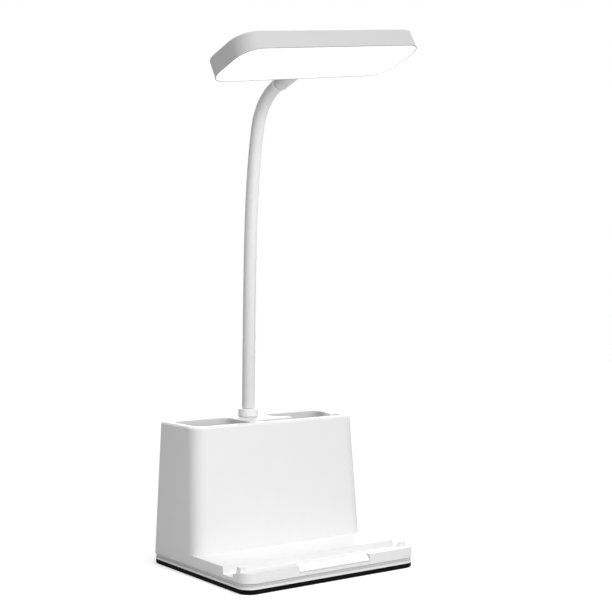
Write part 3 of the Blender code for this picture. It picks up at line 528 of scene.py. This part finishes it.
def opal_plate(material):
    """The light-spreading plate, with softly rounded edges, close in its rebate."""
    low = plate_recess - head_thickness / 2
    angles = [quarter_turn * step / round_sides for step in range(round_sides + 1)]
    levels = [(plate_edge_round * (1 - math.sin(angle)),
               low + plate_edge_round * (1 - math.cos(angle))) for angle in angles]
    levels.append((0, low + plate_thickness))
    shape = bmesh.new()
    place = head_matrix()
    rings = [[shape.verts.new(place @ Vector((x, y, height)))
              for x, y in head_outline(plate_inset + inset)] for inset, height in levels]
    join_rings(shape, rings)
    shape.faces.new(rings[0])
    shape.faces.new(rings[-1])
    plate = add_piece("opal_plate", shape, material)
    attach(plate, "lamp_head")
    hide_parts("diffuser")


# Touch key


def key_outline():
    """The key's oval outline, along the strip and up its slope."""
    straight = key_half_length - key_half_width
    outline = []
    for end, start in ((1, -quarter_turn), (-1, quarter_turn)):
        for step in range(key_end_steps + 1):
            angle = start + half_turn * step / key_end_steps
            outline.append((end * straight + key_half_width * math.cos(angle),
                            key_half_width * math.sin(angle)))
    return outline


def touch_key(material):
    """The oval bead round the touch key on the sloping strip."""
    slope = (strip_rear - strip_front).normalized()
    normal = sideways.cross(slope)
    centre = sideways * key_offset + (strip_front + strip_rear) / 2
    centre += normal * (seat_gap + strip_thickness)
    outline = key_outline()
    shape = bmesh.new()
    rings = []
    for index, (x, y) in enumerate(outline):
        back, ahead = outline[index - 1], outline[(index + 1) % len(outline)]
        way = Vector((ahead[0] - back[0], ahead[1] - back[1])).normalized()
        across = sideways * way.y - slope * way.x
        middle = centre + sideways * x + slope * y
        rings.append(ring(shape, middle, across, normal, key_bead, bead_sides))
    join_rings(shape, rings + rings[:1])
    key = add_piece("touch_key_bead", shape, material)
    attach(key, "base")


# Camera, light and floor


def place_camera():
    data = bpy.data.cameras.new("camera")
    data.lens, data.sensor_width = camera_lens, sensor_width
    data.clip_end = camera_reach
    camera = bpy.data.objects.new("camera", data)
    camera.location = camera_place
    camera.rotation_euler = (quarter_turn - camera_dip, 0, -camera_turn)
    bpy.context.scene.collection.objects.link(camera)
    bpy.context.scene.camera = camera


def add_light(name, kind, energy, direction):
    """A light that shines from a direction towards the origin."""
    data = bpy.data.lights.new(name, kind)
    data.energy = energy
    light = bpy.data.objects.new(name, data)
    light.rotation_euler = direction.to_track_quat("Z", "Y").to_euler()
    bpy.context.scene.collection.objects.link(light)
    return light


def light_scene():
    """Far soft lamps, near panels that fade behind the base, and a little from all round."""
    for name, level, direction, spread in far_lamps:
        add_light(name, "SUN", level * math.pi, direction).data.angle = spread
    for name, level, place in near_panels:
        panel = add_light(name, "AREA", level * (math.pi * place.length) ** 2, place)
        panel.location = place
        panel.data.size = panel_size
        panel.visible_camera = panel.visible_glossy = False
    world = bpy.data.worlds.new("studio")
    bpy.context.scene.world = world
    world.use_nodes = True
    studio = Nodes(world.node_tree, "Background")
    studio.set("Color", (*grey(1.0), 1.0))
    levels = {"Value": studio.seen(), "To Min": ambient_level, "To Max": 1.0}
    studio.set("Strength", studio.signal("ShaderNodeMapRange", {}, levels))


def lay_floor():
    """A pale floor that fades into the white behind it."""
    shape = bmesh.new()
    bmesh.ops.create_circle(shape, cap_ends=True, segments=floor_sides, radius=floor_radius)
    paint = Paint("pale floor", grey(floor_shade), floor_roughness, specular_ior_level=0.0,
                  emission_strength=floor_lift)
    seen = paint.seen()
    paint.set("Base Color", paint.mixed(seen, grey(floor_bounce_shade), grey(floor_shade)))
    paint.set("Emission Color", paint.mixed(seen, grey(0.0), grey(1.0)))
    fade = paint.stepped(paint.distance_out(), floor_radius * floor_fade_share, floor_radius)
    paint.set("Alpha", 1 - fade)
    add_piece("floor", shape, paint.material, smooth=False)


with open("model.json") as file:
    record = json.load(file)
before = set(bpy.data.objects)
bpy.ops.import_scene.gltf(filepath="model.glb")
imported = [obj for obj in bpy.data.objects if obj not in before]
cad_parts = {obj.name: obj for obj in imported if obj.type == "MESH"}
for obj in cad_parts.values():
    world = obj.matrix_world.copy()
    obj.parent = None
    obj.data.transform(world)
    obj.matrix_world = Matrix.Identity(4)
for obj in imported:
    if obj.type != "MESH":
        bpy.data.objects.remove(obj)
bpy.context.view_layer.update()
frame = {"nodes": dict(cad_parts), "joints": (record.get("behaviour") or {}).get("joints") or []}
neck_points = neck_line()

bpy.context.scene.view_settings.view_transform = "Standard"
place_camera()
light_scene()
lay_floor()

# Painted shade: a thin darker band on the head's lip along its lower edge, standing in for shade.
down = -(head_matrix().to_3x3() @ upwards)
lip_start = down.dot(head_matrix().translation) + head_thickness / 2 - lip_band
lip = (down, lip_start, lip_softness, lip_shade_change)
# Painted shade: the cover's recess gets a darker colour where the housing above would shade it.
recess = (upwards, recess_height, recess_softness, recess_shade_change)
shell = satin_plastic("satin white shell", grey(0.86), 0.42)

dress(["base_housing"], shell)
dress(["bottom_cover"], satin_plastic("satin white cover", grey(0.90), 0.42, painted_shade=recess))
dress(["neck_collar"], satin_plastic("satin white collar", grey(0.92), 0.35))
dress(["head_housing"],
      satin_plastic("satin silver shell", grey(0.78), 0.36, specular=0.15, painted_shade=lip))
dress(["reflector_frame"], satin_plastic("reflector white", grey(0.90), 0.35))
dress(["touch_strip", "neck_ferrule"], gloss_plastic("glossy white", grey(0.92)))
dress(["antislip_pad"], black_rubber())
dress(numbered("base_screw", 4) + numbered("head_screw", 4) + ["charging_socket"],
      plated_metal("plated steel", (0.62, 0.62, 0.63), 0.3))
dress(["counterweight", "neck_nut", "neck_washer", "storage_capacitor"],
      plated_metal("zinc plate", (0.5, 0.5, 0.51), 0.42))
dress(["driver_coil", "touch_sensor"], plated_metal("copper", (0.72, 0.42, 0.27), 0.35))
dress(["control_board"], board_lacquer("green board", (0.03, 0.22, 0.10), (0.05, 0.30, 0.14)))
dress(["led_board"], board_lacquer("white board", (0.86, 0.86, 0.85), (0.90, 0.90, 0.89)))
dress(["driver_chip", "socket_tongue"], simple_finish("black plastic", grey(0.03), 0.5))
dress(["battery_cell"],
      simple_finish("cell sleeve", (0.05, 0.18, 0.45), 0.3, grain_size=6 * millimetre))
dress(numbered("led_chip", 12, digits=2), simple_finish("phosphor", (0.90, 0.78, 0.32), 0.4))
dress(["base_lead"],
      simple_finish("red lead", (0.70, 0.05, 0.04), 0.45, grain_size=3 * millimetre))
cover_neck(satin_plastic("satin white neck", grey(0.85), 0.46))
opal_plate(opal_plastic())
touch_key(shell)
